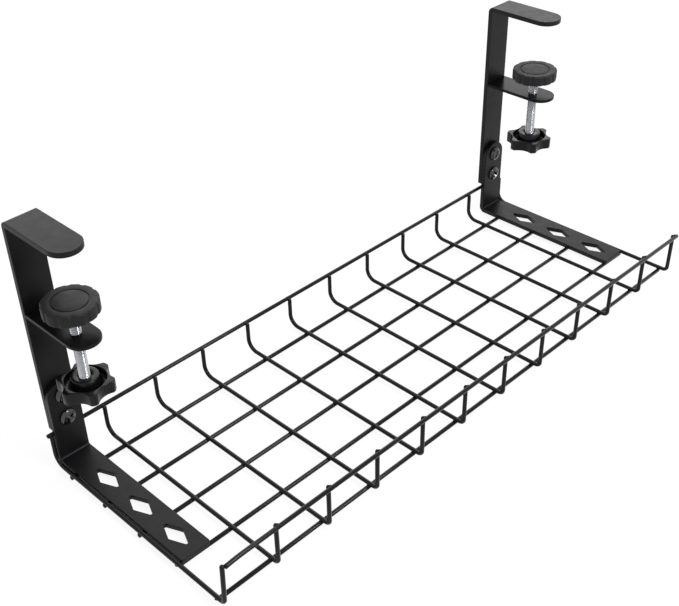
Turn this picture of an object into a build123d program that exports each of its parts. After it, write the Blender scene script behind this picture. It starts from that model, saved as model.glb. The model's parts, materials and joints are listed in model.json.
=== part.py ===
"""Under-desk cable tray: a welded wire tray hung from two screw clamps."""
import os
from math import cos, radians, sin

from build123d import *

# Driving dimensions in millimetres. X runs along the tray, Y towards the desk edge, Z up.
# Wire tray
tray_length = 400.0
tray_depth = 149.5
wire_diameter = 2.2
weld_sink = 0.25
cross_wire_count = 12
floor_wire_count = 5
end_stub = 2.0
rim_bend_inset = 13.0
rim_end_offset = 1.5
front_rim_height = 30.65
front_post_height = 32.2
back_rim_height = 21.55
back_upright_height = 22.3
back_bend_radius = 7.0
front_bend_radius = 3.0
first_floor_wire_inset = 14.45
last_floor_wire_inset = 6.35
wire_sides = 6
bend_chords = 3

# Strip used for the brackets and the clamps
strip_width = 19.0
strip_thickness = 3.0
jaw_thickness = 2.0
strip_gap = 1.2
bracket_height = 55.5
bracket_bend_radius = 2.5
leg_overhang = 2.05
leg_corner_radius = 1.5

# Diamond openings in the bracket leg
diamond_count = 3
diamond_share = 0.745
diamond_width = 9.5
diamond_back_inset = 33.6
diamond_front_inset = 16.5
diamond_tip_radius = 1.0

# Hook over the desk and jaw under it
hook_height = 156.4
hook_foot_height = 24.75
hook_reach = 48.7
hook_bend_radius = 0.4
jaw_top_height = 102.8
jaw_reach = 46.5

# Bolts that join bracket and hook
bolt_heights = {"lower": 31.2, "upper": 46.9}
bolt_diameter = 5.0
bolt_head_diameter = 9.8
bolt_head_height = 2.6
bolt_sides = 20

# Clamp screw, pad and star knob
screw_offset = 31.25
screw_diameter = 6.0
running_clearance = 0.06
pad_raises = {"left": 18.7, "right": 16.8}
pad_diameter = 29.2
pad_thickness = 6.5
pad_socket_depth = 3.5
pad_flute_count = 12
pad_flute_radius = 2.6
pad_flute_depth = 0.5
knob_drop = 45.9
knob_height = 7.0
knob_hub_rise = 2.5
knob_hub_diameter = 14.8
knob_recess_diameter = 22.0
knob_recess_depth = 4.5
knob_lobe_count = 6
knob_turns = {"left": 10.5, "right": 49.5}
knob_tip_radius = 15.2
knob_valley_depth = 3.3
knob_valley_radius = 8.9
knob_tip_rounding = 2.0

# Derived positions
wire_radius = wire_diameter / 2
end_wire_x = tray_length / 2 - end_stub
cross_pitch = 2 * end_wire_x / (cross_wire_count - 1)
long_wire_z = wire_radius
cross_wire_z = long_wire_z + wire_diameter - weld_sink
hook_stand_out = strip_thickness - wire_diameter
back_rim_y = tray_depth / 2 - wire_radius - hook_stand_out / 2
front_rim_y = -tray_depth / 2 + wire_radius - hook_stand_out / 2
upright_y = back_rim_y - wire_diameter + weld_sink
post_y = front_rim_y + wire_diameter - weld_sink
first_floor_y = upright_y - first_floor_wire_inset
last_floor_y = post_y + last_floor_wire_inset
floor_pitch = (first_floor_y - last_floor_y) / (floor_wire_count - 1)
strip_x = end_wire_x - wire_radius - strip_gap - strip_width / 2
bracket_back_y = back_rim_y - wire_radius
bracket_front_y = bracket_back_y - strip_thickness
hook_back_y = bracket_back_y + strip_thickness
leg_bottom_z = wire_diameter
leg_end_y = first_floor_y - (floor_wire_count - 2) * floor_pitch - leg_overhang
screw_y = bracket_back_y - screw_offset
half_strip = strip_width / 2
diamond_back_y = bracket_back_y - diamond_back_inset
diamond_front_y = leg_end_y + diamond_front_inset
diamond_pitch = (diamond_back_y - diamond_front_y) / (diamond_count - 1)
diamond_length = diamond_pitch * diamond_share

os.makedirs("parts", exist_ok=True)

# One front-to-back wire: front post, floor run and back upright in a single bent rod.
# The mesh repeats its bends 24 times, so each is drawn with a few chords of its arc.
front_bend = [
    (
        post_y + front_bend_radius - front_bend_radius * cos(radians(90 * k / bend_chords)),
        cross_wire_z + front_bend_radius - front_bend_radius * sin(radians(90 * k / bend_chords)),
    )
    for k in range(bend_chords + 1)
]
back_bend = [
    (
        upright_y - back_bend_radius + back_bend_radius * sin(radians(90 * k / bend_chords)),
        cross_wire_z + back_bend_radius - back_bend_radius * cos(radians(90 * k / bend_chords)),
    )
    for k in range(bend_chords + 1)
]
with BuildPart() as cross_wire:
    with BuildLine(Plane.YZ) as cross_path:
        Polyline((post_y, front_post_height), *front_bend, *back_bend, (upright_y, back_upright_height))
    with BuildSketch(Plane.XY.offset(front_post_height)) as cross_section:
        with Locations((0, post_y)):
            RegularPolygon(wire_radius, wire_sides, major_radius=False)
    sweep(path=cross_path.wires()[0], transition=Transition.RIGHT)

# One straight wire along the tray, centred on the origin
with BuildPart() as long_wire:
    with BuildSketch(Plane.YZ.offset(-tray_length / 2)):
        RegularPolygon(wire_radius, wire_sides, major_radius=False)
    extrude(amount=tray_length)

# Back rim wire: the same, turned so that a flat meets the uprights
with BuildPart() as back_rim:
    with BuildSketch(Plane.YZ.offset(-tray_length / 2)):
        with Locations((back_rim_y, back_rim_height)):
            RegularPolygon(wire_radius, wire_sides, major_radius=False, rotation=180 / wire_sides)
    extrude(amount=tray_length)

# Front rim wire: its left end bends in and butts against the side of the end post
rim_end_x = -end_wire_x + wire_radius - weld_sink
with BuildPart() as front_rim:
    with BuildLine() as rim_path:
        Polyline(
            (tray_length / 2, front_rim_y, front_rim_height),
            (rim_end_x + rim_bend_inset, front_rim_y, front_rim_height),
            (rim_end_x, front_rim_y + rim_end_offset, front_rim_height),
        )
    with BuildSketch(Plane.YZ.offset(tray_length / 2)):
        with Locations((front_rim_y, front_rim_height)):
            RegularPolygon(wire_radius, wire_sides, major_radius=False, rotation=180 / wire_sides)
    sweep(path=rim_path.wires()[0], transition=Transition.RIGHT)

# The tray: all wires fused where they cross
with BuildPart() as wire_tray:
    add(front_rim.part)
    add(back_rim.part)
    for j in range(floor_wire_count):
        add(long_wire.part.moved(Location((0, first_floor_y - j * floor_pitch, long_wire_z))))
    for i in range(cross_wire_count):
        add(cross_wire.part.moved(Location((-end_wire_x + i * cross_pitch, 0, 0))))
wire_tray.part.label = "wire_tray"
export_step(wire_tray.part, "parts/wire_tray.step")

# Both ends carry the same clamp; only the height of the pad differs
for side, sign in (("left", -1), ("right", 1)):
    side_x = sign * strip_x
    pad_top = jaw_top_height + pad_raises[side]
    hub_top = pad_top - knob_drop
    knob_top = hub_top - knob_hub_rise
    knob_bottom = knob_top - knob_height

    # Side bracket: leg on the floor wires, bend, and a leaf with a round top
    with BuildPart() as bracket:
        with BuildSketch(Plane.YZ.offset(side_x - half_strip)) as bracket_profile:
            with BuildLine():
                outer_radius = bracket_bend_radius + strip_thickness
                Line((leg_end_y, leg_bottom_z), (bracket_back_y - outer_radius, leg_bottom_z))
                CenterArc((bracket_back_y - outer_radius, leg_bottom_z + outer_radius), outer_radius, 270, 90)
                Line((bracket_back_y, leg_bottom_z + outer_radius), (bracket_back_y, bracket_height))
                Line((bracket_back_y, bracket_height), (bracket_front_y, bracket_height))
                Line((bracket_front_y, bracket_height), (bracket_front_y, leg_bottom_z + outer_radius))
                CenterArc((bracket_back_y - outer_radius, leg_bottom_z + outer_radius),
                          bracket_bend_radius, 0, -90)
                Line((bracket_back_y - outer_radius, leg_bottom_z + strip_thickness),
                     (leg_end_y, leg_bottom_z + strip_thickness))
                Line((leg_end_y, leg_bottom_z + strip_thickness), (leg_end_y, leg_bottom_z))
            make_face()
        extrude(amount=strip_width)
        # Round top of the leaf
        top_edges = bracket.edges().filter_by(Axis.Y).group_by(Axis.Z)[-1]
        fillet(top_edges, half_strip - 0.05)
        # Front corners of the leg
        front_edges = bracket.edges().filter_by(Axis.Z).group_by(Axis.Y)[0]
        fillet(front_edges, leg_corner_radius)
        # Diamond openings
        with BuildSketch(Plane.XY.offset(leg_bottom_z - 1)) as diamonds:
            for k in range(diamond_count):
                with Locations((side_x, diamond_back_y - k * diamond_pitch)):
                    Polygon(
                        (0, diamond_length / 2),
                        (diamond_width / 2, 0),
                        (0, -diamond_length / 2),
                        (-diamond_width / 2, 0),
                        align=None,
                    )
            fillet(diamonds.vertices(), diamond_tip_radius)
        extrude(amount=strip_thickness + 2, mode=Mode.SUBTRACT)
        # Holes for the two bolts
        for height in bolt_heights.values():
            with BuildSketch(Plane.XZ.offset(-bracket_back_y)):
                with Locations((side_x, height)):
                    Circle(bolt_diameter / 2 + running_clearance)
            extrude(amount=strip_thickness * 2, both=True, mode=Mode.SUBTRACT)
    bracket.part.label = side + "_bracket"
    export_step(bracket.part, "parts/" + side + "_bracket.step")

    # Hook: upright strip behind the bracket, bent forward over the desk top
    with BuildPart() as hook:
        with BuildSketch(Plane.YZ.offset(side_x - half_strip)) as hook_profile:
            with BuildLine():
                bend_outer = hook_bend_radius + strip_thickness
                bend_y = hook_back_y - bend_outer
                bend_z = hook_height - bend_outer
                tongue_y = hook_back_y - hook_reach
                Line((bracket_back_y, hook_foot_height), (hook_back_y, hook_foot_height))
                Line((hook_back_y, hook_foot_height), (hook_back_y, bend_z))
                CenterArc((bend_y, bend_z), bend_outer, 0, 90)
                Line((bend_y, hook_height), (tongue_y, hook_height))
                Line((tongue_y, hook_height), (tongue_y, hook_height - strip_thickness))
                Line((tongue_y, hook_height - strip_thickness), (bend_y, hook_height - strip_thickness))
                CenterArc((bend_y, bend_z), hook_bend_radius, 90, -90)
                Line((bracket_back_y, bend_z), (bracket_back_y, hook_foot_height))
            make_face()
        extrude(amount=strip_width)
        tip_edges = hook.edges().filter_by(Axis.Z).group_by(Axis.Y)[0]
        fillet(tip_edges, half_strip - 0.05)
        for height in bolt_heights.values():
            with BuildSketch(Plane.XZ.offset(-bracket_back_y)):
                with Locations((side_x, height)):
                    Circle(bolt_diameter / 2 + running_clearance)
            extrude(amount=strip_thickness * 2, both=True, mode=Mode.SUBTRACT)
    hook.part.label = side + "_hook"
    export_step(hook.part, "parts/" + side + "_hook.step")

    # Jaw: flat tongue under the desk, butted against the hook, with the screw hole
    with BuildPart() as jaw:
        with BuildSketch(Plane.XY.offset(jaw_top_height - jaw_thickness)) as jaw_outline:
            with Locations((side_x, bracket_back_y - jaw_reach / 2)):
                Rectangle(strip_width, jaw_reach)
            jaw_tips = jaw_outline.vertices().group_by(Axis.Y)[0]
            fillet(jaw_tips, half_strip - 0.05)
            with Locations((side_x, screw_y)):
                Circle(screw_diameter / 2 + running_clearance, mode=Mode.SUBTRACT)
        extrude(amount=jaw_thickness)
    jaw.part.label = side + "_jaw"
    export_step(jaw.part, "parts/" + side + "_jaw.step")

    # Pad: fluted disc with a socket for the screw below
    with BuildPart() as pad:
        with BuildSketch(Plane.XY.offset(pad_top - pad_thickness)):
            with Locations((side_x, screw_y)):
                Circle(pad_diameter / 2)
        extrude(amount=pad_thickness)
        flute_centre = pad_diameter / 2 - pad_flute_depth + pad_flute_radius
        with BuildSketch(Plane.XY.offset(pad_top - pad_thickness)):
            with Locations((side_x, screw_y)):
                with PolarLocations(flute_centre, pad_flute_count):
                    Circle(pad_flute_radius)
        extrude(amount=pad_thickness, mode=Mode.SUBTRACT)
        with BuildSketch(Plane.XY.offset(pad_top - pad_thickness)):
            with Locations((side_x, screw_y)):
                Circle(screw_diameter / 2 + running_clearance)
        extrude(amount=pad_socket_depth, mode=Mode.SUBTRACT)
    pad.part.label = side + "_pad"
    export_step(pad.part, "parts/" + side + "_pad.step")

    # Clamp screw: plain rod at the outer diameter of its thread
    screw_top = pad_top - pad_thickness + pad_socket_depth
    screw_bottom = knob_bottom + 1.5
    with BuildPart() as screw:
        with BuildSketch(Plane.XY.offset(screw_bottom)):
            with Locations((side_x, screw_y)):
                Circle(screw_diameter / 2)
        extrude(amount=screw_top - screw_bottom)
    screw.part.label = side + "_clamp_screw"
    export_step(screw.part, "parts/" + side + "_clamp_screw.step")

    # Star knob: scooped rim, cup on top and a raised hub round the screw
    with BuildPart() as knob:
        with BuildSketch(Plane.XY.offset(knob_bottom)) as star:
            with Locations((side_x, screw_y)):
                Circle(knob_tip_radius)
                valley_centre = knob_tip_radius - knob_valley_depth + knob_valley_radius
                valley_turn = knob_turns[side] + 180 / knob_lobe_count
                with PolarLocations(valley_centre, knob_lobe_count, valley_turn):
                    Circle(knob_valley_radius, mode=Mode.SUBTRACT)
            fillet(star.vertices(), knob_tip_rounding)
        extrude(amount=knob_height)
        with BuildSketch(Plane.XY.offset(knob_top)):
            with Locations((side_x, screw_y)):
                Circle(knob_recess_diameter / 2)
        extrude(amount=-knob_recess_depth, mode=Mode.SUBTRACT)
        with BuildSketch(Plane.XY.offset(knob_top - knob_recess_depth)):
            with Locations((side_x, screw_y)):
                Circle(knob_hub_diameter / 2)
        extrude(amount=knob_recess_depth + knob_hub_rise)
        with BuildSketch(Plane.XY.offset(screw_bottom)):
            with Locations((side_x, screw_y)):
                Circle(screw_diameter / 2)
        extrude(amount=hub_top - screw_bottom, mode=Mode.SUBTRACT)
    knob.part.label = side + "_knob"
    export_step(knob.part, "parts/" + side + "_knob.step")

    # Pan-head bolts with few sides, one above the other
    for level, height in bolt_heights.items():
        with BuildPart() as bolt:
            with BuildSketch(Plane.XZ.offset(-bracket_front_y)):
                with Locations((side_x, height)):
                    RegularPolygon(bolt_head_diameter / 2, bolt_sides)
            extrude(amount=bolt_head_height)
            with BuildSketch(Plane.XZ.offset(-bracket_front_y)):
                with Locations((side_x, height)):
                    RegularPolygon(bolt_diameter / 2, bolt_sides)
            extrude(amount=-(2 * strip_thickness - 0.2))
        bolt.part.label = side + "_" + level + "_bolt"
        export_step(bolt.part, "parts/" + side + "_" + level + "_bolt.step")
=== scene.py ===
"""Under-desk cable tray: finishes, round wires, threads and light for the parts of the model."""
import json
from math import acos, atan2, cos, pi, radians, sin

import bmesh
import bpy
from mathutils import Matrix, Vector


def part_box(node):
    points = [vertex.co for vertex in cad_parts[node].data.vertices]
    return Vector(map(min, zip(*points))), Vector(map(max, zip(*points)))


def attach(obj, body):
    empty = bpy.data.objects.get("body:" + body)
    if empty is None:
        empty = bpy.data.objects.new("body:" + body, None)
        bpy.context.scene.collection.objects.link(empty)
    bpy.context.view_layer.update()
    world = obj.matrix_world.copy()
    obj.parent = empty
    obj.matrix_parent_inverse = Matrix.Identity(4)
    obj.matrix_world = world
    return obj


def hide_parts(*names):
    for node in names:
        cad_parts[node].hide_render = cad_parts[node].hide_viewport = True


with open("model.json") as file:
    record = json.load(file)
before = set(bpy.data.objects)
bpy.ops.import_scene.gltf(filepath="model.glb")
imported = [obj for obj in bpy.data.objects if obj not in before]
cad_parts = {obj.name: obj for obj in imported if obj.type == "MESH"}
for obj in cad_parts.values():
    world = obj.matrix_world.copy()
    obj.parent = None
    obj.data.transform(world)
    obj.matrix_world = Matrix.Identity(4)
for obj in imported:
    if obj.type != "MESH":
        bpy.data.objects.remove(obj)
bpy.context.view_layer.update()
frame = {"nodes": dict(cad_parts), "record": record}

MM = 0.001
WHITE = (1.0, 1.0, 1.0, 1.0)

# Camera, as fitted to the photograph; pixels are those of its 679 x 606 frame
IMAGE_WIDTH = 679
IMAGE_HEIGHT = 606
FOCAL_PIXELS = 1090.84
PRINCIPAL_POINT = (311.15, 332.56)
CAMERA_PLACE = (-0.39692, -0.35615, 0.41725)
CAMERA_AZIMUTH = -42.8575
CAMERA_ELEVATION = 36.4974
CAMERA_ROLL = -2.5196
SENSOR_WIDTH = 36.0
NEAR_CLIP = 0.01

# Studio, in metres and watts
WORLD_LIGHT = 0.4
WORLD_SEEN = 1.0
FLOOR_HALF = 4.0
FLOOR_DROP = 0.0002
FLOOR_COLOUR = (0.9, 0.9, 0.9, 1.0)
FLOOR_GLOW = 1.06
FLOOR_GLOW_SHARE = 0.85
LAMP_TARGET = (0.0, 0.0, 0.05)
LAMPS = {
    "back_high": {"place": (0.76, 0.96, 0.93), "width": 1.6, "height": 1.6, "power": 11.0},
    "overhead": {"place": (0.25, -0.35, 1.4), "width": 0.7, "height": 0.3, "power": 5.0},
    "front": {"place": (0.2, -1.1, 0.85), "width": 0.45, "height": 0.25, "power": 8.0},
}

# Finishes: where the noise turns from dark to light, its features per metre, and the painted highlight that
# greys raised edges
NOISE_LOW = 0.3
NOISE_HIGH = 0.7
COLOUR_SCALE = 60.0
COLOUR_DETAIL = 3.0
ROUGH_SCALE = 220.0
ROUGH_DETAIL = 4.0
# Painted highlight on raised edges: the pointiness where it starts and where it is full, and its grey
EDGE_HIGHLIGHT_START = 0.52
EDGE_HIGHLIGHT_FULL = 0.62
EDGE_HIGHLIGHT_COLOUR = (0.12, 0.12, 0.125, 1.0)

# Least angle between two faces that shows as an edge, in degrees
WIRE_SHARP = 60
STRIP_SHARP = 35
PLASTIC_SHARP = 50
THREAD_SHARP = 70
HEAD_SHARP = 32

# Wire tray, in millimetres; the front floor wires are butted, so they end on the two end wires
WIRE_RADIUS = 1.27
WIRE_SIDES = 16
WELD_SINK = 0.5
END_STUB = 2.0
END_WIRE_INSET = 0.8
FLOOR_WIRE_TRIM = 1.2
BUTTED_FLOOR_WIRES = 2
CROSS_WIRES = 12
FLOOR_WIRES = 5
FIRST_FLOOR_INSET = 14.6
LAST_FLOOR_INSET = 5.8
BACK_RIM_HEIGHT = 21.55
BACK_UPRIGHT_HEIGHT = 22.3
FRONT_RIM_HEIGHT = 30.65
BACK_BEND_RADIUS = 7.0
BACK_BEND_STEPS = 12
FRONT_BEND_RADIUS = 3.0
FRONT_BEND_STEPS = 10
RIM_BEND_INSET = 13.0
RIM_BEND_STEPS = 8
RIM_END_SAG = 0.8
RIM_TRIM = 1.0
END_POST_LEAN = 1.2
POST_DROP = 0.9
POST_DOME = 0.9
CUT_DOME = 0.35
DOME_STEPS = 4
DOME_TIP_SHARE = 0.02
BEAD_OVERHANG = 0.2
BEAD_HALF_THICKNESS = 0.55
BACK_BEAD_SHARE = 0.8
BEAD_COLUMNS = 12
BEAD_ROWS = 6

# Strips, in millimetres
EDGE_ROUNDING = 0.3
EDGE_STEPS = 2
MERGE_DISTANCE = 0.001
TIP_ROUNDING = 0.05
OUTLINE_STEPS = 14
BRACKET_BEND_RADIUS = 1.2
HOOK_BEND_RADIUS = 0.4
BEND_STEPS = 12
LEG_CORNER_RADIUS = 1.5
HOOK_CORNER_RADIUS = 0.5
JAW_CORNER_RADIUS = 0.31
DIAMOND_COUNT = 3
DIAMOND_SHARE = 0.745
DIAMOND_WIDTH = 9.5
DIAMOND_TIP_RADIUS = 1.0
DIAMOND_TIP_STEPS = 5
DIAMOND_BACK_INSET = 33.6
DIAMOND_FRONT_INSET = 16.5
BOLT_HOLE_RADIUS = 2.56
BOLT_HOLE_SIDES = 28
SCREW_HOLE_CLEARANCE = 0.06
SCREW_HOLE_SIDES = 40

# Clamp screw, in millimetres; crest and flank shape the ridge over one pitch
THREAD_PITCH = 1.0
THREAD_DEPTH = 0.5
THREAD_SIDES = 40
THREAD_STEPS = 8
THREAD_CREST = 1.35
THREAD_FLANK = 1.6

# Rounded outlines of pad and knob
CUSP_STEPS = 5
SCOOP_STEPS = 10
RIM_STEPS = 4
ROUNDING_STEPS = 4
CENTRE_RADIUS = 0.3

# Pad, in millimetres
PAD_FLUTES = 12
PAD_FLUTE_DEPTH = 0.5
PAD_FLUTE_RADIUS = 2.6
PAD_CUSP_ROUNDING = 1.1
PAD_EDGE = 0.9
PAD_FOOT_EDGE = 0.5
PAD_BORE_RADIUS = 3.06
PAD_BORE_EDGE = 0.2
PAD_RING_RADIUS = 9.5
PAD_RING_WIDTH = 0.8
PAD_RING_DEPTH = 0.45
PAD_RING_FLOOR_SHARE = 0.7
PAD_RING_EASE = 0.25
PAD_RING_EASE_DROP = 0.06
PAD_FACE_SHARE = 0.5

# Star knob, in millimetres; turns in degrees
KNOB_LOBES = 6
KNOB_TURNS = {"left": 10.5, "right": 49.5}
KNOB_VALLEY_DEPTH = 3.3
KNOB_VALLEY_RADIUS = 8.9
KNOB_TIP_ROUNDING = 2.0
KNOB_HUB_RISE = 2.5
KNOB_HUB_RADIUS = 7.4
KNOB_RECESS_RADIUS = 11.0
KNOB_RECESS_DEPTH = 4.5
KNOB_EDGE = 0.5
KNOB_LIP = 0.25
KNOB_LIP_SHARE = 0.3
KNOB_CUP_EASE = 0.5
KNOB_HUB_EASE = 0.15
KNOB_FOOT_SHARE = 0.6
KNOB_BORE_RADIUS = 3.8
KNOB_BORE_DEPTH = 1.2
KNOB_BORE_TAPER = 0.2
KNOB_ROD_RADIUS = 3.02
KNOB_ROD_DEPTH = 0.3

# Bolts, in millimetres; turns in degrees
BOLT_SIDES = 40
BOLT_CENTRE_RADIUS = 0.25
BOLT_SHANK_RADIUS = 2.47
BOLT_SHANK_EDGE = 0.3
HEAD_FOOT_INSET = 0.25
HEAD_FOOT_RISE = 0.2
HEAD_WALL_SHARE = 0.25
HEAD_STEPS = 9
RECESS_REACH = 3.4
RECESS_HALF_WIDTH = 0.8
RECESS_DEPTH = 1.6
RECESS_START = 0.4
RECESS_MOUTH_REACH = 0.35
RECESS_MOUTH_WIDTH = 0.08
RECESS_FLOOR_REACH_SHARE = 0.42
RECESS_FLOOR_WIDTH_SHARE = 0.7
RECESS_TURNS = {"left_upper": 18, "left_lower": 38, "right_upper": 62, "right_lower": 30}

body_of = {}
for body, members in frame["record"]["behaviour"]["bodies"].items():
    for member in members:
        body_of[member] = body


# Camera, background and lamps
def add_camera():
    """The photograph's view: place, direction, roll, lens and the offset of its centre."""
    azimuth = radians(CAMERA_AZIMUTH)
    elevation = radians(CAMERA_ELEVATION)
    roll = radians(CAMERA_ROLL)
    back = Vector((sin(azimuth) * cos(elevation), -cos(azimuth) * cos(elevation), sin(elevation)))
    level_right = Vector((0, 0, 1)).cross(back).normalized()
    level_up = back.cross(level_right)
    right = cos(roll) * level_right + sin(roll) * level_up
    up = cos(roll) * level_up - sin(roll) * level_right
    data = bpy.data.cameras.new("camera")
    data.sensor_fit = "HORIZONTAL"
    data.sensor_width = SENSOR_WIDTH
    data.lens = FOCAL_PIXELS / IMAGE_WIDTH * SENSOR_WIDTH
    data.shift_x = (IMAGE_WIDTH / 2 - PRINCIPAL_POINT[0]) / IMAGE_WIDTH
    data.shift_y = (PRINCIPAL_POINT[1] - IMAGE_HEIGHT / 2) / IMAGE_WIDTH
    data.clip_start = NEAR_CLIP
    camera = bpy.data.objects.new("camera", data)
    rows = Matrix((right, up, back)).transposed().to_4x4()
    camera.matrix_world = Matrix.Translation(CAMERA_PLACE) @ rows
    bpy.context.scene.collection.objects.link(camera)
    bpy.context.scene.camera = camera


def cleared_tree(holder):
    """The emptied node tree of a material or world."""
    holder.use_nodes = True
    holder.node_tree.nodes.clear()
    return holder.node_tree


def set_inputs(node, values):
    """Sets sockets of a node by name."""
    for name, value in values.items():
        node.inputs[name].default_value = value


def background_rays(tree):
    """1 for the rays that see the pale background: camera, glossy and transmission rays."""
    path = tree.nodes.new("ShaderNodeLightPath")
    total = path.outputs["Is Camera Ray"]
    for ray in ("Is Glossy Ray", "Is Transmission Ray"):
        largest = tree.nodes.new("ShaderNodeMath")
        largest.operation = "MAXIMUM"
        tree.links.new(total, largest.inputs[0])
        tree.links.new(path.outputs[ray], largest.inputs[1])
        total = largest.outputs[0]
    return total


def show_mixed(tree, share, lit, seen, output_type):
    """Gives the output the seen shader for that share of the rays, and the lit one for the rest."""
    mix = tree.nodes.new("ShaderNodeMixShader")
    tree.links.new(share, mix.inputs[0])
    tree.links.new(lit.outputs[0], mix.inputs[1])
    tree.links.new(seen.outputs[0], mix.inputs[2])
    output = tree.nodes.new(output_type)
    tree.links.new(mix.outputs[0], output.inputs[0])


def add_world():
    """White to the eye, darker as a source of light."""
    world = bpy.data.worlds.new("studio")
    tree = cleared_tree(world)
    light = tree.nodes.new("ShaderNodeBackground")
    set_inputs(light, {"Color": WHITE, "Strength": WORLD_LIGHT})
    seen = tree.nodes.new("ShaderNodeBackground")
    set_inputs(seen, {"Color": WHITE, "Strength": WORLD_SEEN})
    show_mixed(tree, background_rays(tree), light, seen, "ShaderNodeOutputWorld")
    bpy.context.scene.world = world


def add_floor():
    """Plain white floor that keeps a faint shadow of the tray."""
    mesh = bpy.data.meshes.new("floor")
    corners = [(x * FLOOR_HALF, y * FLOOR_HALF, 0) for x, y in ((-1, -1), (1, -1), (1, 1), (-1, 1))]
    mesh.from_pydata(corners, [], [(0, 1, 2, 3)])
    floor = bpy.data.objects.new("floor", mesh)
    floor.location.z = -FLOOR_DROP
    bpy.context.scene.collection.objects.link(floor)
    material = bpy.data.materials.new("floor")
    tree = cleared_tree(material)
    diffuse = tree.nodes.new("ShaderNodeBsdfDiffuse")
    set_inputs(diffuse, {"Color": FLOOR_COLOUR})
    glow = tree.nodes.new("ShaderNodeEmission")
    set_inputs(glow, {"Color": WHITE, "Strength": FLOOR_GLOW})
    share = tree.nodes.new("ShaderNodeMath")
    share.operation = "MULTIPLY"
    share.inputs[1].default_value = FLOOR_GLOW_SHARE
    tree.links.new(background_rays(tree), share.inputs[0])
    show_mixed(tree, share.outputs[0], diffuse, glow, "ShaderNodeOutputMaterial")
    mesh.materials.append(material)


def add_softbox(name, place, width, height, power):
    """A rectangular area light that faces the tray, its width level."""
    data = bpy.data.lights.new(name, "AREA")
    data.shape = "RECTANGLE"
    data.size = width
    data.size_y = height
    data.energy = power
    light = bpy.data.objects.new(name, data)
    light.location = place
    direction = Vector(LAMP_TARGET) - Vector(place)
    light.rotation_euler = direction.to_track_quat("-Z", "Y").to_euler()
    bpy.context.scene.collection.objects.link(light)


# Materials
def noise(tree, coordinates, scale, detail):
    """A noise texture in the object's own space; scale is in features per metre."""
    texture = tree.nodes.new("ShaderNodeTexNoise")
    set_inputs(texture, {"Scale": scale, "Detail": detail})
    tree.links.new(coordinates, texture.inputs["Vector"])
    return texture.outputs[0]


def mapped(tree, value, source, result):
    """Stretches a value from the source's limits to the result's."""
    node = tree.nodes.new("ShaderNodeMapRange")
    set_inputs(node, {"From Min": source[0], "From Max": source[1]})
    set_inputs(node, {"To Min": result[0], "To Max": result[1]})
    tree.links.new(value, node.inputs["Value"])
    return node.outputs[0]


def varied_colour(tree, spots, dark, light, edge_highlight):
    """A colour between dark and light, with a painted highlight that turns raised edges greyer as far as
    asked.
    """
    ramp = tree.nodes.new("ShaderNodeValToRGB")
    for element, position, colour in zip(ramp.color_ramp.elements, (NOISE_LOW, NOISE_HIGH), (dark, light)):
        element.position = position
        element.color = (*colour, 1)
    tree.links.new(spots, ramp.inputs[0])
    if not edge_highlight:
        return ramp.outputs[0]
    # Painted highlight: raised edges, found by their pointiness, blend towards a light grey
    edges = tree.nodes.new("ShaderNodeNewGeometry").outputs["Pointiness"]
    blend = tree.nodes.new("ShaderNodeMix")
    blend.data_type = "RGBA"
    blend.inputs["B"].default_value = EDGE_HIGHLIGHT_COLOUR
    tree.links.new(mapped(tree, edges, (EDGE_HIGHLIGHT_START, EDGE_HIGHLIGHT_FULL), (0.0, edge_highlight)), blend.inputs["Factor"])
    tree.links.new(ramp.outputs[0], blend.inputs["A"])
    return blend.outputs["Result"]


def layered_bumps(tree, coordinates, layers):
    """Bumps over each other; layers lists (features per metre, detail, strength, height in metres)."""
    normal = None
    for scale, detail, strength, height in layers:
        bump = tree.nodes.new("ShaderNodeBump")
        set_inputs(bump, {"Strength": strength, "Distance": height})
        tree.links.new(noise(tree, coordinates, scale, detail), bump.inputs["Height"])
        if normal is not None:
            tree.links.new(normal, bump.inputs["Normal"])
        normal = bump.outputs[0]
    return normal


def surface(
    slot, dark, light, roughness, constants, layers, colour_scale=COLOUR_SCALE, edge_highlight=0.0, name=None,
):
    """A procedural finish for a slot.

    The colour varies from dark to light and the roughness between its two limits. The constants are
    the same all over, layers are the bumps, and the edge argument is how far a painted highlight turns
    raised edges grey.
    """
    material = bpy.data.materials.new(name or slot + "_finish")
    material["slot"] = slot
    tree = cleared_tree(material)
    shader = tree.nodes.new("ShaderNodeBsdfPrincipled")
    set_inputs(shader, constants)
    output = tree.nodes.new("ShaderNodeOutputMaterial")
    tree.links.new(shader.outputs[0], output.inputs[0])
    coordinates = tree.nodes.new("ShaderNodeTexCoord").outputs["Object"]
    spots = noise(tree, coordinates, colour_scale, COLOUR_DETAIL)
    tree.links.new(varied_colour(tree, spots, dark, light, edge_highlight), shader.inputs["Base Color"])
    clouds = noise(tree, coordinates, ROUGH_SCALE, ROUGH_DETAIL)
    tree.links.new(mapped(tree, clouds, (NOISE_LOW, NOISE_HIGH), roughness), shader.inputs["Roughness"])
    tree.links.new(layered_bumps(tree, coordinates, layers), shader.inputs["Normal"])
    return material


POWDER_COAT = surface(
    "black_powder_coat",
    dark=(0.005, 0.005, 0.006),
    light=(0.009, 0.009, 0.010),
    roughness=(0.38, 0.46),
    constants={"Metallic": 0.0, "IOR": 1.5, "Specular IOR Level": 0.17},
    layers=[(160.0, 2.0, 0.05, 0.0006), (1300.0, 2.0, 0.08, 0.00008)],
    edge_highlight=0.06,
)
WIRE_COAT = surface(
    "black_powder_coat",
    dark=(0.004, 0.004, 0.005),
    light=(0.007, 0.007, 0.008),
    roughness=(0.13, 0.18),
    constants={"Metallic": 0.0, "IOR": 1.5, "Specular IOR Level": 0.18},
    layers=[(160.0, 2.0, 0.02, 0.0006), (1300.0, 2.0, 0.02, 0.00006)],
    name="wire_coat_finish",
)
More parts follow.
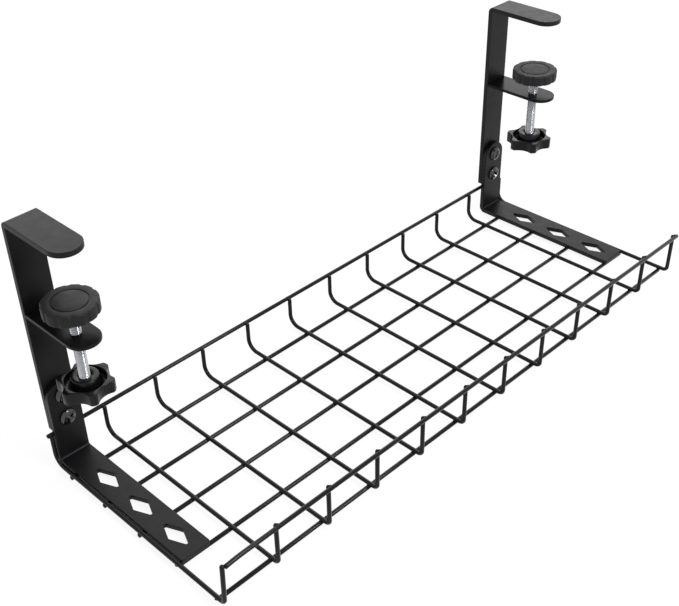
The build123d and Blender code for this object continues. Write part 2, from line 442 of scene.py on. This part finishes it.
# Darker copy of the black powder coat with less sheen, for the jaws: painted shade from the pad and tongue
# above them
JAW_SHADED_COAT = surface(
    "black_powder_coat",
    dark=(0.004, 0.004, 0.005),
    light=(0.007, 0.007, 0.008),
    roughness=(0.20, 0.26),
    constants={"Metallic": 0.0, "IOR": 1.5, "Specular IOR Level": 0.10},
    layers=[(160.0, 2.0, 0.05, 0.0006), (1300.0, 2.0, 0.06, 0.00006)],
    name="jaw_shaded_coat_finish",
)
ZINC = surface(
    "zinc_screw",
    dark=(0.36, 0.37, 0.39),
    light=(0.56, 0.57, 0.59),
    roughness=(0.12, 0.20),
    constants={"Metallic": 1.0},
    layers=[(700.0, 3.0, 0.04, 0.00006)],
    colour_scale=140.0,
)
BLACK_BOLT = surface(
    "black_bolt",
    dark=(0.003, 0.003, 0.004),
    light=(0.006, 0.006, 0.007),
    roughness=(0.08, 0.12),
    constants={"Metallic": 0.0, "IOR": 1.6, "Specular IOR Level": 0.6},
    layers=[(500.0, 2.0, 0.06, 0.00008)],
    colour_scale=300.0,
    edge_highlight=0.1,
)
PAD_PLASTIC = surface(
    "pad_plastic",
    dark=(0.007, 0.007, 0.008),
    light=(0.012, 0.012, 0.013),
    roughness=(0.50, 0.60),
    constants={"Metallic": 0.0, "IOR": 1.5, "Specular IOR Level": 0.24},
    layers=[(350.0, 2.0, 0.12, 0.0003), (1600.0, 4.0, 0.35, 0.00012)],
    edge_highlight=0.08,
)
KNOB_PLASTIC = surface(
    "knob_plastic",
    dark=(0.003, 0.003, 0.004),
    light=(0.006, 0.006, 0.007),
    roughness=(0.16, 0.24),
    constants={"Metallic": 0.0, "IOR": 1.5, "Specular IOR Level": 0.20},
    layers=[(220.0, 2.0, 0.10, 0.0005), (1400.0, 3.0, 0.12, 0.00008)],
    edge_highlight=0.12,
)


# Meshes and pieces
class Shell:
    """Collects the points and faces of one piece, in millimetres."""

    def __init__(self):
        self.vertices = []
        self.faces = []

    def ring(self, points):
        """Adds the points of a ring and gives their numbers."""
        start = len(self.vertices)
        self.vertices += [Vector(p) for p in points]
        return list(range(start, len(self.vertices)))

    def bridge(self, first, second):
        """Joins two rings with a band of faces."""
        count = len(first)
        for i in range(count):
            j = (i + 1) % count
            self.faces.append((first[i], first[j], second[j], second[i]))

    def stack(self, rings):
        """Joins rings of points in order and closes the ends."""
        made = [self.ring(points) for points in rings]
        for first, second in zip(made, made[1:]):
            self.bridge(first, second)
        self.faces.append(tuple(reversed(made[0])))
        self.faces.append(tuple(made[-1]))

    def build(self):
        """The mesh, in metres."""
        mesh = bpy.data.meshes.new("shell")
        mesh.from_pydata([v * MM for v in self.vertices], [], self.faces)
        return mesh


def stacked_mesh(rings):
    """A closed mesh over one stack of rings."""
    shell = Shell()
    shell.stack(rings)
    return shell.build()


def shown_mesh(holder):
    """A new mesh of the object as its modifiers leave it."""
    shown = holder.evaluated_get(bpy.context.evaluated_depsgraph_get())
    return bpy.data.meshes.new_from_object(shown)


def face_outwards(mesh):
    """Turns all faces of a mesh outwards."""
    work = bmesh.new()
    work.from_mesh(mesh)
    bmesh.ops.recalc_face_normals(work, faces=work.faces)
    work.to_mesh(mesh)
    work.free()


def place_piece(mesh, node, suffix, material, sharp_angle, weighted=False):
    """Makes the object for a mesh, smooth-shaded, standing for its node and riding on its body."""
    mesh.name = node + suffix
    face_outwards(mesh)
    for polygon in mesh.polygons:
        polygon.use_smooth = True
    mesh.set_sharp_from_angle(angle=radians(sharp_angle))
    mesh.materials.clear()
    mesh.materials.append(material)
    piece = bpy.data.objects.new(node + suffix, mesh)
    bpy.context.scene.collection.objects.link(piece)
    if weighted:
        modifier = piece.modifiers.new("flat_faces", "WEIGHTED_NORMAL")
        modifier.keep_sharp = True
    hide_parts(node)
    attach(piece, body_of[node])


def box_of(node):
    """Lowest and highest corner of a node, in millimetres."""
    low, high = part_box(node)
    return low / MM, high / MM


def axis_of(node):
    """X and Y of a node's upright axis, in millimetres."""
    low, high = box_of(node)
    return (low.x + high.x) / 2, (low.y + high.y) / 2


def strip_thickness(side):
    """Thickness of the bent strips: the hook stands that far behind the bracket."""
    return box_of(side + "_hook")[1].y - box_of(side + "_bracket")[1].y


def spread(first, last, count):
    """Evenly spaced values from the first to the last."""
    return [first + (last - first) * k / (count - 1) for k in range(count)]


# Wires
def wire_ring(centre, across, upright, radius):
    """Points round a wire."""
    turns = [2 * pi * k / WIRE_SIDES for k in range(WIRE_SIDES)]
    return [centre + radius * (cos(turn) * across + sin(turn) * upright) for turn in turns]


def rounded_end(tip, inwards, direction, dome):
    """Centre, radius and direction of the rings of a wire's end, from the full wire out to its tip."""
    stations = []
    for k in range(DOME_STEPS + 1):
        turn = pi / 2 * k / DOME_STEPS
        sink = WIRE_RADIUS * dome * (1 - sin(turn))
        radius = WIRE_RADIUS * max(cos(turn), DOME_TIP_SHARE)
        stations.append((tip + inwards * direction * sink, radius, direction))
    return stations


def add_wire(shell, path, dome):
    """A round wire along a path of points; dome is the height of its rounded ends over the radius."""
    points = [Vector(p) for p in path]
    headings = [(b - a).normalized() for a, b in zip(points, points[1:])]
    directions = [headings[0]]
    directions += [(a + b).normalized() for a, b in zip(headings, headings[1:])]
    directions.append(headings[-1])
    stations = rounded_end(points[0], 1, directions[0], dome)[::-1]
    for point, direction in zip(points[1:-1], directions[1:-1]):
        stations.append((point, WIRE_RADIUS, direction))
    stations += rounded_end(points[-1], -1, directions[-1], dome)
    across = directions[0].orthogonal().normalized()
    rings = []
    for centre, radius, direction in stations:
        across = (across - across.dot(direction) * direction).normalized()
        rings.append(wire_ring(centre, across, direction.cross(across), radius))
    shell.stack(rings)


def arc_points(centre, radius, start, sweep, steps):
    """Points of an arc in a plane of constant X, from a start angle above +Y, in degrees."""
    x, y, z = centre
    points = []
    for k in range(steps + 1):
        angle = radians(start + sweep * k / steps)
        points.append((x, y + radius * cos(angle), z + radius * sin(angle)))
    return points


def add_bead(shell, centre, half_sizes):
    """A small weld bead: an ellipsoid where two wires meet."""
    rings = []
    for i in range(1, BEAD_ROWS):
        height = -cos(pi * i / BEAD_ROWS)
        width = sin(pi * i / BEAD_ROWS)
        ring = []
        for k in range(BEAD_COLUMNS):
            turn = 2 * pi * k / BEAD_COLUMNS
            ring.append((
                centre[0] + half_sizes[0] * width * cos(turn),
                centre[1] + half_sizes[1] * width * sin(turn),
                centre[2] + half_sizes[2] * height,
            ))
        rings.append(ring)
    shell.stack(rings)


def make_wire_tray():
    """All wires of the tray, smooth and round, with a weld bead at each crossing."""
    low, high = box_of("wire_tray")
    wire_step = 2 * WIRE_RADIUS - WELD_SINK
    long_z = low.z + WIRE_RADIUS
    cross_z = long_z + wire_step
    back_y = high.y - WIRE_RADIUS
    front_y = low.y + WIRE_RADIUS
    upright_y = back_y - wire_step
    post_y = front_y + wire_step
    floor_ys = spread(upright_y - FIRST_FLOOR_INSET, post_y + LAST_FLOOR_INSET, FLOOR_WIRES)
    cross_xs = spread(END_STUB - high.x, high.x - END_STUB, CROSS_WIRES)
    cross_xs[0] += END_WIRE_INSET
    cross_xs[-1] -= END_WIRE_INSET

    shell = Shell()
    for x in cross_xs:
        front_centre = (x, post_y + FRONT_BEND_RADIUS, cross_z + FRONT_BEND_RADIUS)
        back_centre = (x, upright_y - BACK_BEND_RADIUS, cross_z + BACK_BEND_RADIUS)
        lean = END_POST_LEAN if x == cross_xs[0] else 0.0
        path = [(x, post_y - lean, high.z - POST_DROP)]
        path += arc_points(front_centre, FRONT_BEND_RADIUS, start=180, sweep=90, steps=FRONT_BEND_STEPS)
        path += arc_points(back_centre, BACK_BEND_RADIUS, start=270, sweep=90, steps=BACK_BEND_STEPS)
        path.append((x, upright_y, BACK_UPRIGHT_HEIGHT))
        add_wire(shell, path, POST_DOME)
    for j, y in enumerate(floor_ys):
        butted = j >= FLOOR_WIRES - BUTTED_FLOOR_WIRES
        reach = cross_xs[-1] if butted else high.x - FLOOR_WIRE_TRIM
        add_wire(shell, [(-reach, y, long_z), (reach, y, long_z)], CUT_DOME)

    rim_x = high.x - RIM_TRIM
    back_rim = [(-rim_x, back_y, BACK_RIM_HEIGHT), (rim_x, back_y, BACK_RIM_HEIGHT)]
    add_wire(shell, back_rim, CUT_DOME)
    # The front rim dips a little where its left end meets the leaning end wire
    rim_end_x = cross_xs[0] + WIRE_RADIUS - WELD_SINK
    front_rim = [(rim_x, front_y, FRONT_RIM_HEIGHT)]
    for k in range(RIM_BEND_STEPS + 1):
        share = k / RIM_BEND_STEPS
        x = rim_end_x + RIM_BEND_INSET * (1 - share)
        front_rim.append((x, front_y, FRONT_RIM_HEIGHT - RIM_END_SAG * share**2))
    add_wire(shell, front_rim, CUT_DOME)

    bead = WIRE_RADIUS + BEAD_OVERHANG
    flat = BEAD_HALF_THICKNESS
    low_bead = bead * BACK_BEAD_SHARE
    for x in cross_xs:
        for y in floor_ys:
            add_bead(shell, (x, y, (long_z + cross_z) / 2), (bead, bead, flat))
        add_bead(shell, (x, (back_y + upright_y) / 2, BACK_RIM_HEIGHT), (bead, flat, low_bead))
        if x > cross_xs[0]:
            add_bead(shell, (x, (front_y + post_y) / 2, FRONT_RIM_HEIGHT), (bead, flat, bead))
    place_piece(shell.build(), "wire_tray", "_round", WIRE_COAT, WIRE_SHARP)


# Strips
def round_corners(corners, steps):
    """Replaces each corner (x, y, radius) of a closed outline with an arc that touches both its sides."""
    points = []
    count = len(corners)
    for i, (x, y, radius) in enumerate(corners):
        here = Vector((x, y))
        before = (Vector(corners[i - 1][:2]) - here).normalized()
        after = (Vector(corners[(i + 1) % count][:2]) - here).normalized()
        half_angle = before.angle(after) / 2
        reach = radius / sin(half_angle) * cos(half_angle)
        centre = here + (before + after).normalized() * radius / sin(half_angle)
        start = here + before * reach - centre
        sweep = pi - 2 * half_angle
        if before.x * after.y - before.y * after.x > 0:
            sweep = -sweep
        for k in range(steps + 1):
            points.append(centre + Matrix.Rotation(sweep * k / steps, 2) @ start)
    return points


def strip_outline(length, width, start_radius, end_radius):
    """A strip along X whose two ends have their own corner radius."""
    corners = [(0, -width / 2, start_radius), (length, -width / 2, end_radius)]
    corners += [(x, -y, radius) for x, y, radius in reversed(corners)]
    return round_corners(corners, OUTLINE_STEPS)


def round_hole(x, radius, sides):
    """A round hole in the strip's middle line."""
    turns = [2 * pi * k / sides for k in range(sides)]
    return [(x + radius * cos(turn), radius * sin(turn)) for turn in turns]


def flat_pattern(outline, holes, thickness):
    """A flat plate with holes and rounded edges, in millimetres, lying in XY."""
    curve = bpy.data.curves.new("pattern", "CURVE")
    curve.dimensions = "2D"
    curve.fill_mode = "BOTH"
    curve.extrude = thickness / 2 - EDGE_ROUNDING
    curve.bevel_depth = EDGE_ROUNDING
    curve.bevel_resolution = EDGE_STEPS
    curve.offset = -EDGE_ROUNDING
    for points in (outline, *holes):
        spline = curve.splines.new("POLY")
        spline.points.add(len(points) - 1)
        for point, place in zip(spline.points, points):
            point.co = (place[0], place[1], 0, 1)
        spline.use_cyclic_u = True
    holder = bpy.data.objects.new("pattern", curve)
    bpy.context.scene.collection.objects.link(holder)
    mesh = shown_mesh(holder)
    bpy.data.objects.remove(holder)
    bpy.data.curves.remove(curve)
    return mesh


def fold_place(u, w, start, heading, fold_at, fold_radius):
    """Where a point u along and w above a strip lies in the YZ plane, once the strip is folded."""
    along = Vector((cos(heading), sin(heading)))
    above = Vector((-sin(heading), cos(heading)))
    if fold_at is None or u <= fold_at:
        return start + along * u + above * w
    turn = min((u - fold_at) / fold_radius, pi / 2)
    rest = max(0.0, u - fold_at - fold_radius * pi / 2)
    centre = start + along * fold_at + above * fold_radius
    turned_along = Vector((cos(heading + turn), sin(heading + turn)))
    turned_above = Vector((-sin(heading + turn), cos(heading + turn)))
    return centre - turned_above * (fold_radius - w) + turned_along * rest


def make_strip(node, outline, holes, thickness, start, heading, coat, fold_at=None, fold_radius=None):
    """A strip cut flat and then folded a quarter turn, standing for a node.

    Its own X runs along it and its Y across; start and heading are in the YZ plane.
    """
    mesh = flat_pattern(outline, holes, thickness)
    middle_x = axis_of(node)[0]
    work = bmesh.new()
    work.from_mesh(mesh)
    bmesh.ops.remove_doubles(work, verts=work.verts, dist=MERGE_DISTANCE)
    if fold_at is not None:
        for k in range(BEND_STEPS + 1):
            cut = fold_at + fold_radius * pi / 2 * k / BEND_STEPS
            everything = work.verts[:] + work.edges[:] + work.faces[:]
            bmesh.ops.bisect_plane(work, geom=everything, plane_co=(cut, 0, 0), plane_no=(1, 0, 0))
    for vertex in work.verts:
        u, v, w = vertex.co
        place = fold_place(u, w, start, heading, fold_at, fold_radius)
        vertex.co = Vector((middle_x + v, place.x, place.y)) * MM
    work.to_mesh(mesh)
    work.free()
    place_piece(mesh, node, "_strip", coat, STRIP_SHARP, weighted=True)


def bolt_heights(side):
    """Heights of the axes of a side's two bolts."""
    boxes = [box_of(side + "_" + level + "_bolt") for level in ("lower", "upper")]
    return [(low.z + high.z) / 2 for low, high in boxes]


def make_bracket(side):
    """Leg on the floor wires with its diamond openings, and the leaf with its bolt holes."""
    low, high = box_of(side + "_bracket")
    width = high.x - low.x
    thickness = strip_thickness(side)
    fold_radius = BRACKET_BEND_RADIUS + thickness / 2
    fold_at = high.y - BRACKET_BEND_RADIUS - thickness - low.y
    leaf_start = fold_at + fold_radius * pi / 2
    leaf_z = low.z + thickness + BRACKET_BEND_RADIUS
    length = leaf_start + high.z - leaf_z
    outline = strip_outline(length, width, LEG_CORNER_RADIUS, width / 2 - TIP_ROUNDING)

    back_diamond = high.y - DIAMOND_BACK_INSET - low.y
    half_length = (back_diamond - DIAMOND_FRONT_INSET) / (DIAMOND_COUNT - 1) * DIAMOND_SHARE / 2
    half_width = DIAMOND_WIDTH / 2
    holes = []
    for u in spread(back_diamond, DIAMOND_FRONT_INSET, DIAMOND_COUNT):
        corners = [(u - half_length, 0), (u, -half_width), (u + half_length, 0), (u, half_width)]
        holes.append(round_corners([(x, y, DIAMOND_TIP_RADIUS) for x, y in corners], DIAMOND_TIP_STEPS))
    for height in bolt_heights(side):
        holes.append(round_hole(leaf_start + height - leaf_z, BOLT_HOLE_RADIUS, BOLT_HOLE_SIDES))
    start = Vector((low.y, low.z + thickness / 2))
    make_strip(side + "_bracket", outline, holes, thickness, start, 0.0, POWDER_COAT, fold_at, fold_radius)


def make_hook(side):
    """Upright behind the bracket's leaf, bent forward over the desk top."""
    low, high = box_of(side + "_hook")
    width = high.x - low.x
    thickness = strip_thickness(side)
    fold_radius = HOOK_BEND_RADIUS + thickness / 2
    fold_at = high.z - HOOK_BEND_RADIUS - thickness - low.z
    tongue = high.y - HOOK_BEND_RADIUS - thickness - low.y
    length = fold_at + fold_radius * pi / 2 + tongue
    outline = strip_outline(length, width, HOOK_CORNER_RADIUS, width / 2 - TIP_ROUNDING)
    holes = []
    for height in bolt_heights(side):
        holes.append(round_hole(height - low.z, BOLT_HOLE_RADIUS, BOLT_HOLE_SIDES))
    start = Vector((high.y - thickness / 2, low.z))
    make_strip(side + "_hook", outline, holes, thickness, start, pi / 2, POWDER_COAT, fold_at, fold_radius)


def make_jaw(side):
    """Flat tongue under the desk, with the hole for the clamp screw."""
    low, high = box_of(side + "_jaw")
    width = high.x - low.x
    outline = strip_outline(high.y - low.y, width, JAW_CORNER_RADIUS, width / 2 - TIP_ROUNDING)
    screw_low, screw_high = box_of(side + "_clamp_screw")
    hole_radius = (screw_high.x - screw_low.x) / 2 + SCREW_HOLE_CLEARANCE
    screw_u = high.y - (screw_low.y + screw_high.y) / 2
    holes = [round_hole(screw_u, hole_radius, SCREW_HOLE_SIDES)]
    start = Vector((high.y, (low.z + high.z) / 2))
    make_strip(side + "_jaw", outline, holes, high.z - low.z, start, pi, JAW_SHADED_COAT)


# Turned and lobed pieces
def corner_angle(first, second, opposite):
    """The angle of a triangle between two of its sides."""
    return acos((first**2 + second**2 - opposite**2) / (2 * first * second))


def lobed_outline(radius, depth, scoop, rounding, count, first_scoop, inset):
    """A disc with equal round scoops in its rim and rounded cusps, as points round the origin.

    The inset moves the outline inwards by that much everywhere.
    """
    scoop_distance = radius - depth + scoop
    cusp_distance = radius - rounding
    reach = scoop + rounding
    cusp_turn = corner_angle(scoop_distance, cusp_distance, reach)
    scoop_turn = corner_angle(scoop_distance, reach, cusp_distance)
    cusp = rounding - inset
    points = []

    def arc(centre_angle, distance, arc_radius, start, end, steps):
        for k in range(steps):
            angle = start + (end - start) * k / steps
            points.append((
                distance * cos(centre_angle) + arc_radius * cos(angle),
                distance * sin(centre_angle) + arc_radius * sin(angle),
            ))

    for k in range(count):
        towards = radians(first_scoop) + 2 * pi * k / count
        following = towards + 2 * pi / count
        before = towards - cusp_turn
        after = towards + cusp_turn
        inwards = towards + pi
        arc(before, cusp_distance, cusp, before, towards + scoop_turn, CUSP_STEPS)
        arc(towards, scoop_distance, scoop + inset, inwards + scoop_turn, inwards - scoop_turn, SCOOP_STEPS)
        arc(after, cusp_distance, cusp, towards - scoop_turn, after, CUSP_STEPS)
        arc(0, 0, radius - inset, after, following - cusp_turn, RIM_STEPS)
    return points


def quarter(radius):
    """(inset, drop) pairs round a convex edge of that radius, from the side wall up to the top face."""
    turns = [pi / 2 * k / ROUNDING_STEPS for k in range(ROUNDING_STEPS + 1)]
    return [(radius * (1 - cos(turn)), radius * (1 - sin(turn))) for turn in turns]


def widest_radius(node, x, y):
    """How far a node reaches from its upright axis, in millimetres."""
    points = [vertex.co / MM for vertex in frame["nodes"][node].data.vertices]
    return max(Vector((point.x - x, point.y - y)).length for point in points)


def ring_makers(x, y, outline):
    """Two makers of level rings round an axis, with the same count of points.

    One draws the outline, moved inwards; the other draws a circle.
    """
    angles = [atan2(v, u) for u, v in outline(0)]

    def lobed(inset, z):
        return [(x + u, y + v, z) for u, v in outline(inset)]

    def circle(radius, z):
        return [(x + radius * cos(angle), y + radius * sin(angle), z) for angle in angles]

    return lobed, circle


def make_pad(side):
    """Fluted pad with a ring groove in its face and rounded edges."""
    node = side + "_pad"
    x, y = axis_of(side + "_clamp_screw")
    low, high = box_of(node)
    widest = widest_radius(node, x, y)

    def outline(inset):
        return lobed_outline(
            widest, PAD_FLUTE_DEPTH, PAD_FLUTE_RADIUS, PAD_CUSP_ROUNDING, PAD_FLUTES, 0, inset,
        )

    fluted, circle = ring_makers(x, y, outline)
    rings = [
        circle(PAD_BORE_RADIUS, low.z + PAD_BORE_EDGE),
        circle(PAD_BORE_RADIUS + PAD_BORE_EDGE, low.z),
    ]
    rings += [fluted(inset, low.z + drop) for inset, drop in reversed(quarter(PAD_FOOT_EDGE))]
    rings += [fluted(inset, high.z - drop) for inset, drop in quarter(PAD_EDGE)]
    half = PAD_RING_WIDTH / 2
    floor_half = half * PAD_RING_FLOOR_SHARE
    for radius, drop in (
        (PAD_RING_RADIUS + half + PAD_RING_EASE, 0.0),
        (PAD_RING_RADIUS + half, PAD_RING_EASE_DROP),
        (PAD_RING_RADIUS + floor_half, PAD_RING_DEPTH),
        (PAD_RING_RADIUS - floor_half, PAD_RING_DEPTH),
        (PAD_RING_RADIUS - half, PAD_RING_EASE_DROP),
        (PAD_RING_RADIUS - half - PAD_RING_EASE, 0.0),
        (PAD_RING_RADIUS * PAD_FACE_SHARE, 0.0),
        (CENTRE_RADIUS, 0.0),
    ):
        rings.append(circle(radius, high.z - drop))
    place_piece(stacked_mesh(rings), node, "_fluted", PAD_PLASTIC, PLASTIC_SHARP)


def make_knob(side):
    """Star knob: scooped rim, deep cup and a raised hub round the screw."""
    node = side + "_knob"
    x, y = axis_of(side + "_clamp_screw")
    low, high = box_of(node)
    widest = widest_radius(node, x, y)
    half_lobe = 180 / KNOB_LOBES
    first_valley = KNOB_TURNS[side] + half_lobe

    def outline(inset):
        return lobed_outline(
            widest, KNOB_VALLEY_DEPTH, KNOB_VALLEY_RADIUS, KNOB_TIP_ROUNDING, KNOB_LOBES,
            first_valley, inset,
        )

    star, circle = ring_makers(x, y, outline)
    bottom = low.z
    hub_top = high.z
    rim_top = hub_top - KNOB_HUB_RISE
    cup_floor = rim_top - KNOB_RECESS_DEPTH
    bore_floor = hub_top - KNOB_BORE_DEPTH
    rings = [circle(CENTRE_RADIUS, bottom), circle(KNOB_RECESS_RADIUS * KNOB_FOOT_SHARE, bottom)]
    rings += [star(inset, bottom + drop) for inset, drop in reversed(quarter(KNOB_EDGE))]
    rings += [star(inset, rim_top - drop) for inset, drop in quarter(KNOB_EDGE)]
    for radius, z in (
        (KNOB_RECESS_RADIUS + KNOB_LIP, rim_top),
        (KNOB_RECESS_RADIUS + KNOB_LIP * KNOB_LIP_SHARE, rim_top - KNOB_LIP * KNOB_LIP_SHARE),
        (KNOB_RECESS_RADIUS, rim_top - KNOB_LIP),
        (KNOB_RECESS_RADIUS, cup_floor + KNOB_CUP_EASE),
        (KNOB_RECESS_RADIUS - KNOB_CUP_EASE, cup_floor),
        (KNOB_HUB_RADIUS + KNOB_CUP_EASE, cup_floor),
        (KNOB_HUB_RADIUS, cup_floor + KNOB_CUP_EASE),
        (KNOB_HUB_RADIUS, hub_top - KNOB_CUP_EASE),
        (KNOB_HUB_RADIUS - KNOB_HUB_EASE, hub_top - KNOB_HUB_EASE),
        (KNOB_HUB_RADIUS - KNOB_CUP_EASE, hub_top),
        (KNOB_BORE_RADIUS, hub_top),
        (KNOB_BORE_RADIUS - KNOB_HUB_EASE, hub_top - KNOB_HUB_EASE),
        (KNOB_BORE_RADIUS - KNOB_BORE_TAPER, bore_floor),
        (KNOB_ROD_RADIUS, bore_floor),
        (KNOB_ROD_RADIUS, bore_floor - KNOB_ROD_DEPTH),
    ):
        rings.append(circle(radius, z))
    place_piece(stacked_mesh(rings), node, "_star", KNOB_PLASTIC, PLASTIC_SHARP)


def make_screw(side):
    """Clamp screw with its real thread: a right-hand ridge that climbs one pitch each turn."""
    node = side + "_clamp_screw"
    x, y = axis_of(node)
    low, high = box_of(node)
    outer = (high.x - low.x) / 2
    inner = outer - THREAD_DEPTH
    rows = int((high.z - low.z) / THREAD_PITCH * THREAD_STEPS)
    rings = []
    for z in spread(low.z, high.z, rows + 1):
        fade = min(1.0, (z - low.z) / THREAD_PITCH, (high.z - z) / THREAD_PITCH)
        ring = []
        for k in range(THREAD_SIDES):
            share = k / THREAD_SIDES
            phase = (z / THREAD_PITCH - share) % 1.0
            ridge = max(0.0, min(1.0, THREAD_CREST - abs(2 * phase - 1) * THREAD_FLANK))
            radius = inner + (outer - inner) * ridge * fade
            ring.append((x + radius * cos(2 * pi * share), y + radius * sin(2 * pi * share), z))
        rings.append(ring)
    place_piece(stacked_mesh(rings), node, "_thread", ZINC, THREAD_SHARP)


# Bolts
def cross_cutter(x, z, face_y, turn):
    """A tapered cross that cuts the driver recess, along +Y from the head's face."""
    mouth_reach = RECESS_REACH + RECESS_MOUTH_REACH
    mouth_half = RECESS_HALF_WIDTH + RECESS_MOUTH_WIDTH
    floor_reach = RECESS_REACH * RECESS_FLOOR_REACH_SHARE
    floor_half = RECESS_HALF_WIDTH * RECESS_FLOOR_WIDTH_SHARE
    rings = []
    for reach, half, depth in (
        (mouth_reach, mouth_half, -RECESS_START),
        (floor_reach, floor_half, RECESS_DEPTH),
    ):
        corners = [(reach, half), (half, half), (half, reach)]
        corners += [(-half, reach), (-half, half), (-reach, half)]
        corners += [(-u, -v) for u, v in corners]
        ring = []
        for u, v in corners:
            across = cos(radians(turn)) * u - sin(radians(turn)) * v
            upright = sin(radians(turn)) * u + cos(radians(turn)) * v
            ring.append((x + across, face_y + depth, z + upright))
        rings.append(ring)
    return stacked_mesh(rings)


def cut_away(body_mesh, cutter_mesh):
    """A new mesh: the body without what lies inside the cutter."""
    holders = []
    for mesh in (body_mesh, cutter_mesh):
        face_outwards(mesh)
        holder = bpy.data.objects.new("holder", mesh)
        bpy.context.scene.collection.objects.link(holder)
        holders.append(holder)
    cut = holders[0].modifiers.new("recess", "BOOLEAN")
    cut.operation = "DIFFERENCE"
    cut.solver = "EXACT"
    cut.object = holders[1]
    result = shown_mesh(holders[0])
    for holder in holders:
        bpy.data.objects.remove(holder)
    return result


def make_bolt(side, level):
    """Pan-head bolt with a cross recess, its head towards the front."""
    node = side + "_" + level + "_bolt"
    low, high = box_of(node)
    x = (low.x + high.x) / 2
    z = (low.z + high.z) / 2
    head_radius = (high.x - low.x) / 2
    seat = box_of(side + "_bracket")[1].y - strip_thickness(side)
    wall = HEAD_WALL_SHARE * (seat - low.y)
    dome = seat - low.y - wall
    profile = [
        (BOLT_CENTRE_RADIUS, high.y),
        (BOLT_SHANK_RADIUS - BOLT_SHANK_EDGE, high.y),
        (BOLT_SHANK_RADIUS, high.y - BOLT_SHANK_EDGE),
        (BOLT_SHANK_RADIUS, seat),
        (head_radius - HEAD_FOOT_INSET, seat),
        (head_radius, seat - HEAD_FOOT_RISE),
    ]
    for k in range(HEAD_STEPS):
        turn = pi / 2 * k / HEAD_STEPS
        profile.append((head_radius * cos(turn), seat - wall - dome * sin(turn)))
    profile.append((BOLT_CENTRE_RADIUS, low.y))
    turns = [2 * pi * k / BOLT_SIDES for k in range(BOLT_SIDES)]
    rings = []
    for radius, y in profile:
        rings.append([(x + radius * cos(turn), y, z + radius * sin(turn)) for turn in turns])
    cutter = cross_cutter(x, z, low.y, RECESS_TURNS[side + "_" + level])
    place_piece(cut_away(stacked_mesh(rings), cutter), node, "_head", BLACK_BOLT, HEAD_SHARP)


add_camera()
add_world()
add_floor()
for name, lamp in LAMPS.items():
    add_softbox(name, **lamp)
make_wire_tray()
for side in ("left", "right"):
    make_bracket(side)
    make_hook(side)
    make_jaw(side)
    make_pad(side)
    make_knob(side)
    make_screw(side)
    for level in ("upper", "lower"):
        make_bolt(side, level)

bpy.context.scene.view_settings.view_transform = "Standard"
